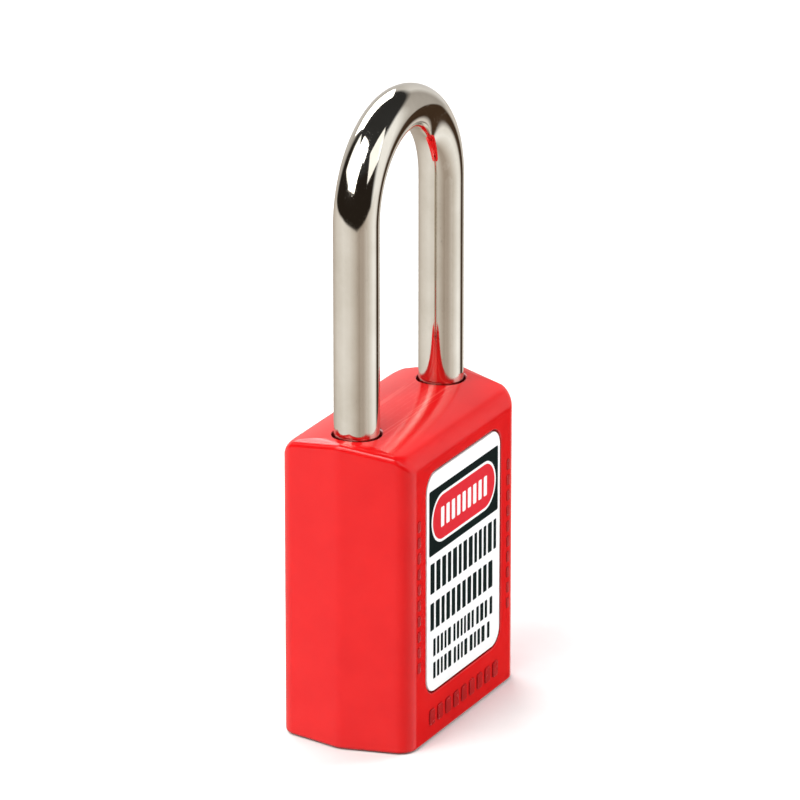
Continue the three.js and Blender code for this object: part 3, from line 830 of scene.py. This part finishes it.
def plug():
    """The turning part: flange, clip groove, keyway, pin chambers, slot for the cam and a dimple."""
    low, high = box_mm("plug")
    flange_r, flange_top = high.x, 3.0
    groove_low, groove_high, groove_r = 23.2, 24.0, 5.1
    corners = [(0, low.z), (flange_r, low.z), (flange_r, flange_top), (PLUG_R, flange_top),
               (PLUG_R, groove_low), (groove_r, groove_low), (groove_r, groove_high),
               (PLUG_R, groove_high), (PLUG_R, high.z), (0, high.z)]
    body = turned("plug_turning", soft_profile(corners, 0.2), PLUG_ROUND, BRIGHT_BRASS)
    wide, narrow, outer, keyway_top, chamber_end = 1.4, 0.85, 4.4, 22, KEYWAY_IN + 0.8
    keyway = [(KEYWAY_IN, -narrow), (0, -narrow), (0.5, -wide), (outer, -wide), (outer, 0.3),
              (1.6, 0.3), (1.1, narrow), (KEYWAY_IN, narrow)]
    outline = rounded(keyway, [0.18] * len(keyway), steps=4)
    combine(body, prism("tool", outline, "z", -1, keyway_top, BRIGHT_BRASS))
    for z in PIN_HEIGHTS:
        combine(body, rod_tool(CHAMBER_R, -PLUG_R - 1, chamber_end, (0, 0, z), "x", SMALL_ROUND))
    slot_low, slot_reach, slot_half = 24.3, 8, 1.25
    slot = rounded(rectangle(slot_reach, slot_half), [0.1] * 4, steps=2)
    combine(body, prism("tool", slot, "z", slot_low, high.z + 1, BRIGHT_BRASS))
    dimple_r, dimple_deep, dimple_y, dimple_round = 0.45, 0.2, 5.2, 32
    dimple = soft_profile(cylinder(dimple_r, low.z - 0.5, low.z + dimple_deep), 0.1)
    combine(body, turned("tool", dimple, dimple_round, BRIGHT_BRASS, (0, dimple_y, 0)))
    finish_piece(body, "plug_body", "plug")


def cylinder_housing():
    """The plug's fixed barrel, with the pin block beside it and a post for the retaining screw."""
    low, high = box_mm("cylinder_housing")
    radius, half, corner_r, edge, block_right = 7.7, 2.7, 0.4, 0.15, -4
    barrel = soft_profile(cylinder(radius, low.z, HOUSING_TOP), 0.2)
    body = turned("cylinder_body", barrel, PLUG_ROUND, BRASS)
    for right, right_r, start, end in ((block_right, 0, low.z, HOUSING_TOP),
                                       (-radius - 0.5, corner_r, HOUSING_TOP - 1, high.z)):
        corners = [(low.x, -half), (right, -half), (right, half), (low.x, half)]
        outline = rounded(corners, [corner_r, right_r, right_r, corner_r], steps=4)
        combine(body, prism("tool", outline, "z", start, end, BRASS, edge), "UNION")
    combine(body, rod_tool(PLUG_BORE_R, low.z - 1, HOUSING_TOP + 1, (0, 0, 0), "z", PLUG_ROUND))
    for z in PIN_HEIGHTS:
        combine(body, rod_tool(CHAMBER_R, low.x - 1, block_right, (0, 0, z), "x", SMALL_ROUND))
    screw_low, screw_play = 22.4, 0.05
    screw_hole = rod_tool(SCREW_R + screw_play, screw_low, high.z + 1, (-LEG_X, 0, 0), "z", SMALL_ROUND)
    combine(body, screw_hole)
    finish_piece(body, "housing", "cylinder_housing")


def pins():
    """Key pins with a blunt point towards the keyway, and plain drivers behind them."""
    for i, z in enumerate(PIN_HEIGHTS, 1):
        low, high = box_mm(f"key_pin_{i}")
        radius = (high.z - low.z) / 2
        tip = soft_profile([(0, low.x), (radius, low.x), (radius, high.x - 0.9),
                            (radius - 0.6, high.x - 0.1), (0, high.x)], 0.12)
        key_pin = turned(f"key_pin_turned_{i}", tip, SMALL_ROUND, BRIGHT_BRASS, (0, 0, z), "x")
        finish_piece(key_pin, "plug_body", f"key_pin_{i}")
        low, high = box_mm(f"driver_pin_{i}")
        flat = soft_profile(cylinder(radius, low.x, high.x), 0.2)
        driver = turned(f"driver_turned_{i}", flat, SMALL_ROUND, STEEL, (0, 0, z), "x")
        finish_piece(driver, "housing", f"driver_pin_{i}")


def chamber_strip():
    low, high = box_mm("chamber_strip")
    corners = [(low.y, low.z), (high.y, low.z), (high.y, high.z), (low.y, high.z)]
    outline = rounded(corners, [0.5] * 4, steps=5)
    strip = prism("chamber_cover", outline, "x", low.x, high.x, BRASS, edge=0.1)
    finish_piece(strip, "housing", "chamber_strip")


def plug_clip():
    """An open ring in the plug's groove."""
    low, high = box_mm("plug_clip")
    inner, gap_half, gap_reach = 5.2, 1.6, 9
    section = [(inner, low.z), (high.x, low.z), (high.x, high.z), (inner, high.z), (inner, low.z)]
    clip = turned("plug_ring", section, PLUG_ROUND, WIRE)
    corners = [(-gap_half, -gap_reach), (gap_half, -gap_reach), (gap_half, 0), (-gap_half, 0)]
    gap = rounded(corners, [0.05] * 4, steps=2)
    combine(clip, prism("tool", gap, "z", low.z - 1, high.z + 1, WIRE))
    finish_piece(clip, "plug_body", "plug_clip")


def heel_sleeve():
    """The tube round the heel leg, with a small bevel on each edge."""
    low, high = box_mm("heel_sleeve")
    inner, outer, edge = LEG_HOLE_R, (high.x - low.x) / 2, 0.12
    wall = [(inner, low.z + edge), (inner + edge, low.z), (outer - edge, low.z), (outer, low.z + edge),
            (outer, high.z - edge), (outer - edge, high.z), (inner + edge, high.z), (inner, high.z - edge)]
    sleeve = turned("heel_tube", wall + wall[:1], LEG_ROUND, ZINC, (LEG_X, 0, 0))
    finish_piece(sleeve, "housing", "heel_sleeve")


def stop_pin():
    low, high = box_mm("stop_pin")
    profile = soft_profile(cylinder((high.x - low.x) / 2, low.y, high.y), 0.25)
    middle = ((low.x + high.x) / 2, 0, (low.z + high.z) / 2)
    pin = turned("cross_pin", profile, SMALL_ROUND, STEEL, middle, "y")
    finish_piece(pin, "housing", "stop_pin")


def retaining_screw():
    """A socket-head screw: thread with a tapered start, plain neck and a head with a hexagon socket."""
    low, high = box_mm("retaining_screw")
    head_r, head_low = (high.x - low.x) / 2, high.z - 2.2
    pitch, groove, lead, plain, start_share = 0.5, 0.16, 0.5, 1.2, 0.72
    slices = 8
    angles = [2 * math.pi * i / SMALL_ROUND for i in range(SMALL_ROUND)]
    rings = [[Vector((-LEG_X, 0, low.z))] * SMALL_ROUND]
    z = low.z
    while z < head_low - plain:
        taper = min(1, (z - low.z) / lead)
        share = start_share + (1 - start_share) * taper
        ring = []
        for i, angle in enumerate(angles):
            phase = (z / pitch - i / SMALL_ROUND) % 1
            radius = (SCREW_R - groove * abs(2 * phase - 1)) * share
            ring.append(Vector((-LEG_X + radius * math.cos(angle), radius * math.sin(angle), z)))
        rings.append(ring)
        z += pitch / slices
    head = [(SCREW_R - 0.02, head_low - 1), (SCREW_R, head_low), (head_r - 0.1, head_low),
            (head_r, head_low + 0.1), (head_r, high.z - 0.25), (head_r - 0.08, high.z - 0.08),
            (head_r - 0.25, high.z), (0, high.z)]
    for radius, z in head:
        rings.append([Vector((-LEG_X + radius * math.cos(a), radius * math.sin(a), z)) for a in angles])
    screw = build("case_screw", rings, BLACK_STEEL, caps=False)
    socket_r, socket_deep = 1.3, 1.3
    hexagon = []
    for i in range(6):
        angle = math.pi * i / 3
        hexagon.append(Vector((-LEG_X + socket_r * math.cos(angle), socket_r * math.sin(angle))))
    combine(screw, prism("tool", hexagon, "z", high.z - socket_deep, high.z + 1, BLACK_STEEL))
    finish_piece(screw, "housing", "retaining_screw")


# ---------------------------------------------------------------- case, cam and balls

def lock_case():
    """The cast block with bores for the cam, both legs, the balls, the screw and the stop pin."""
    low, high = box_mm("lock_case")
    cam_bore, socket_floor, pin_play, screw_play = 5.6, 29.0, 0.1, 0.2
    start, end = low.z - 1, high.z + 1
    body = prism("case_block", inset_plan(WALL + 0.3, high.y), "z", low.z, high.z, ZINC, edge=0.3)
    combine(body, rod_tool(cam_bore, start, end, (0, 0, 0), "z", LEG_ROUND))
    combine(body, rod_tool(LEG_HOLE_R, start, end, (LEG_X, 0, 0), "z", LEG_ROUND))
    combine(body, rod_tool(LEG_HOLE_R, socket_floor, end, (-LEG_X, 0, 0), "z", LEG_ROUND))
    screw_hole = rod_tool(SCREW_R + screw_play, start, socket_floor + 1, (-LEG_X, 0, 0), "z", SMALL_ROUND)
    combine(body, screw_hole)
    combine(body, rod_tool(BALL_R + BALL_PLAY, -LEG_X, LEG_X, (0, 0, BALL_Z), "x", LEG_ROUND))
    low, high = box_mm("stop_pin")
    middle = ((low.x + high.x) / 2, 0, (low.z + high.z) / 2)
    pin_r = (high.x - low.x) / 2 + pin_play
    combine(body, rod_tool(pin_r, -DEPTH_Y, DEPTH_Y, middle, "y", SMALL_ROUND))
    finish_piece(body, "housing", "lock_case")


def cam_radius(angle, largest):
    """Radius of the cam's lobes, cut where a ball passes as the cam turns and the ball moves in."""
    radius = largest
    clear, steps = BALL_R + 0.12, 180
    for k in range(steps + 1):
        done = k / steps
        distance = BALL_X - BALL_TRAVEL * done
        for first in (0, math.pi):
            off = angle - (first - QUARTER * done)
            aside = distance * math.sin(off)
            if math.cos(off) > 0 and abs(aside) < clear:
                radius = min(radius, distance * math.cos(off) - math.sqrt(clear ** 2 - aside ** 2))
    return radius


def cam():
    """Two lobes between the balls, a disc below them and a tongue in the plug's slot."""
    low, high = box_mm("cam")
    largest, disc_r, disc_low, sides = 5.0, high.x, 26.6, 240
    lobes_low, disc_high = BALL_Z - BALL_R - 0.5, BALL_Z - BALL_R - 0.2
    outline = []
    for i in range(sides):
        angle = 2 * math.pi * i / sides
        radius = cam_radius(angle, largest)
        outline.append(Vector((radius * math.cos(angle), radius * math.sin(angle))))
    lobes = prism("cam_turning", outline, "z", lobes_low, high.z, STEEL)
    disc = soft_profile(cylinder(disc_r, disc_low, disc_high), 0.25)
    combine(lobes, turned("tool", disc, LEG_ROUND, STEEL), "UNION")
    half_x, half_y, rise = 4.8, 1.1, 0.6
    tongue = rounded(rectangle(half_x, half_y), [0.3] * 4, steps=4)
    combine(lobes, prism("tool", tongue, "z", low.z, disc_low + rise, STEEL, edge=0.1), "UNION")
    finish_piece(lobes, "plug_body", "cam")


def balls():
    steps = 32
    profile = []
    for k in range(steps + 1):
        angle = -QUARTER + math.pi * k / steps
        profile.append((BALL_R * math.cos(angle), BALL_R * math.sin(angle)))
    for name, side, body in (("ball_toe", -1, "toe_ball"), ("ball_heel", 1, "heel_ball")):
        ball = turned(name + "_ground", profile, BALL_ROUND, STEEL, (side * BALL_X, 0, BALL_Z))
        finish_piece(ball, body, name, angle=60)


# ---------------------------------------------------------------- stage

CAMERA_AZIMUTH = -63.5
CAMERA_ELEVATION = 19.5
CAMERA_DISTANCE = 0.92
# the lens and its sensor are in millimetres
LENS = 300
SENSOR = 36
NEAREST = 0.01
FLOOR_REACH = 4.0
FLOOR_GAP = 0.00005

# Brightness of the room round the lock, by direction in degrees: 0 is behind the camera, 90 its right.
# Polished metal mirrors the low room in place of the floor.
LOW_ROOM = ((-180, 0.4), (-150, 0.5), (-115, 0.72), (-66, 0.85), (-34, 0.78), (-6, 0.6), (14, 0.42),
            (34, 0.42), (54, 0.6), (78, 0.85), (94, 1.0), (109, 0.9), (119, 0.06), (135, 0.05),
            (144, 0.7), (180, 0.5))
HIGH_ROOM = ((-180, 0.55), (-150, 0.6), (-132, 0.5), (-122, 0.02), (64, 0.02), (76, 1.0), (100, 1.0),
             (116, 0.5), (142, 0.4), (156, 0.75), (180, 0.55))
# how far the high room's dark wall reaches down by direction, as a share of DARK_REACH
DARK_WALL = ((-180, 0), (-75, 0), (2, 1), (60, 0), (180, 0))
DARK_REACH = 0.15
CEILING = 0.03
ROOM_LIGHT = 1.15
# the share of the room's light that matt surfaces get
ROOM_FILL = 0.42
BACKDROP = 1.0

WHITE = (1.0, 1.0, 1.0)
WARM_WHITE = (1.0, 0.985, 0.96)
SOFT_WHITE = (1.0, 0.99, 0.97)
COOL_WHITE = (0.97, 0.985, 1.0)
# softboxes: name, place, width, height, watts, colour, and whether polished surfaces mirror it
SOFTBOXES = (
    ("key_light", (-0.498, 0.143, 0.6), 0.5, 0.7, 5.0, WARM_WHITE, True),
    ("streak_light", (-0.36, 0.44, 0.53), 0.56, 0.44, 1.4, SOFT_WHITE, True),
    ("strip_light", (-0.118, -0.579, 0.5), 0.46, 0.44, 0.9, SOFT_WHITE, True),
    ("edge_light", (-0.371, 0.013, 0.64), 0.4, 0.16, 1.1, WHITE, True),
    ("front_light", (0.6, -0.42, 0.32), 0.36, 0.6, 5.4, COOL_WHITE, False),
    ("top_light", (0.35, 0.45, 0.55), 0.6, 0.4, 4.0, WHITE, True),
)


def softbox(name, where, target, width, height, power, colour, mirrored):
    lamp = bpy.data.lights.new(name, "AREA")
    lamp.shape = "RECTANGLE"
    lamp.size, lamp.size_y = width, height
    lamp.energy = power
    lamp.color = colour
    thing = bpy.data.objects.new(name, lamp)
    bpy.context.scene.collection.objects.link(thing)
    thing.location = where
    thing.rotation_euler = (target - thing.location).to_track_quat("-Z", "Y").to_euler()
    thing.visible_glossy = mirrored


def ramp(tree, turn, stops, warmth=1.0):
    """Light by direction, from (degrees, brightness) stops, warmer where it is darker. turn is 0 at -180
    degrees and 1 at 180."""
    made = node(tree, "ShaderNodeValToRGB", {0: turn})
    elements = made.color_ramp.elements
    elements[0].position, elements[1].position = 0, 1
    for degrees, _ in stops[1:-1]:
        elements.new((degrees + 180) / 360)
    for element, (_, grey) in zip(elements, stops):
        element.color = (grey, grey ** (1 + 0.18 * warmth), grey ** (1 + 0.36 * warmth), 1)
    return made.outputs[0]


def room():
    """A low room under a high room with a dark ceiling. The camera itself sees the plain backdrop."""
    world = bpy.data.worlds.new("room")
    bpy.context.scene.world = world
    world.use_nodes = True
    tree = world.node_tree
    direction = node(tree, "ShaderNodeTexCoord").outputs["Generated"]
    x, y, z = node(tree, "ShaderNodeSeparateXYZ", {0: direction}).outputs
    azimuth = math_node(tree, "ARCTAN2", x, math_node(tree, "MULTIPLY", y, -1.0))
    turn = math_node(tree, "DIVIDE", azimuth, 2 * math.pi)
    turn = math_node(tree, "ADD", turn, 0.5 - CAMERA_AZIMUTH / 360)
    turn = math_node(tree, "FRACT", turn, 0.0)
    ceiling_low, ceiling_high, seam_low, seam_high, high_warmth = 0.5, 0.62, -0.14, -0.1, 0.4
    low = ramp(tree, turn, LOW_ROOM)
    overhead = spread(tree, z, ceiling_low, ceiling_high)
    high = mix(tree, overhead, ramp(tree, turn, HIGH_ROOM, high_warmth), (CEILING,) * 3)
    reach = math_node(tree, "MULTIPLY", ramp(tree, turn, DARK_WALL), DARK_REACH)
    above = math_node(tree, "ADD", z, reach)
    walls = mix(tree, spread(tree, above, seam_low, seam_high), low, high)
    ray = node(tree, "ShaderNodeLightPath").outputs
    strength = spread(tree, ray["Is Diffuse Ray"], 0.0, 1.0, ROOM_LIGHT, ROOM_LIGHT * ROOM_FILL)
    strength = spread(tree, ray["Is Camera Ray"], 0.0, 1.0, strength, 1.0)
    background = tree.nodes["Background"]
    tree.links.new(mix(tree, ray["Is Camera Ray"], walls, (BACKDROP,) * 3), background.inputs[0])
    tree.links.new(strength, background.inputs[1])


def floor_paper():
    """Pale paper that fades into the backdrop away from the lock."""
    material = surface("floor_paper", (0.86, 0.86, 0.86), (0.89, 0.89, 0.89), (0.6, 0.75), 1.0, 0.002)
    tree = material.node_tree
    place = node(tree, "ShaderNodeTexCoord").outputs["Object"]
    away = node(tree, "ShaderNodeVectorMath", {0: place}, operation="LENGTH").outputs["Value"]
    seen = node(tree, "ShaderNodeLightPath").outputs["Is Camera Ray"]
    fade_from, fade_to = 0.2, 0.6
    fade = math_node(tree, "MULTIPLY", spread(tree, away, fade_from, fade_to), seen)
    glow = node(tree, "ShaderNodeEmission", {"Color": (BACKDROP, BACKDROP, BACKDROP, 1)})
    both = node(tree, "ShaderNodeMixShader", {0: fade})
    tree.links.new(tree.nodes["Principled BSDF"].outputs[0], both.inputs[1])
    tree.links.new(glow.outputs[0], both.inputs[2])
    tree.links.new(both.outputs[0], tree.nodes["Material Output"].inputs["Surface"])
    return material


def paper_floor():
    mesh = bpy.data.meshes.new("floor")
    corners = [(x, y, 0) for x, y in rectangle(FLOOR_REACH, FLOOR_REACH)]
    mesh.from_pydata(corners, [], [(0, 1, 2, 3)])
    floor = link("floor", mesh, [floor_paper()])
    floor.location.z = cad_bounds[0].z - FLOOR_GAP
    floor.visible_glossy = False


def place_camera(middle):
    scene = bpy.context.scene
    camera_data = bpy.data.cameras.new("camera")
    camera_data.lens = LENS
    camera_data.sensor_width = SENSOR
    camera_data.clip_start = NEAREST
    camera = bpy.data.objects.new("camera", camera_data)
    scene.collection.objects.link(camera)
    scene.camera = camera
    azimuth, elevation = math.radians(CAMERA_AZIMUTH), math.radians(CAMERA_ELEVATION)
    level = Vector((math.sin(azimuth), -math.cos(azimuth), 0)) * math.cos(elevation)
    back = level + Vector((0, 0, math.sin(elevation)))
    camera.location = middle + back * CAMERA_DISTANCE
    camera.rotation_mode = "QUATERNION"
    camera.rotation_quaternion = (-back).to_track_quat("-Z", "Y")


def stage():
    paper_floor()
    middle = (cad_bounds[0] + cad_bounds[1]) / 2
    for name, where, width, height, power, colour, mirrored in SOFTBOXES:
        softbox(name, where, middle, width, height, power, colour, mirrored)
    room()
    bpy.context.scene.view_settings.view_transform = "Standard"
    place_camera(middle)


red_body()
raised_marks()
edge_ticks()
front_label()
back_label()
shackle()
springs()
bottom_cap()
plug()
cylinder_housing()
pins()
chamber_strip()
plug_clip()
heel_sleeve()
stop_pin()
retaining_screw()
lock_case()
cam()
balls()
stage()
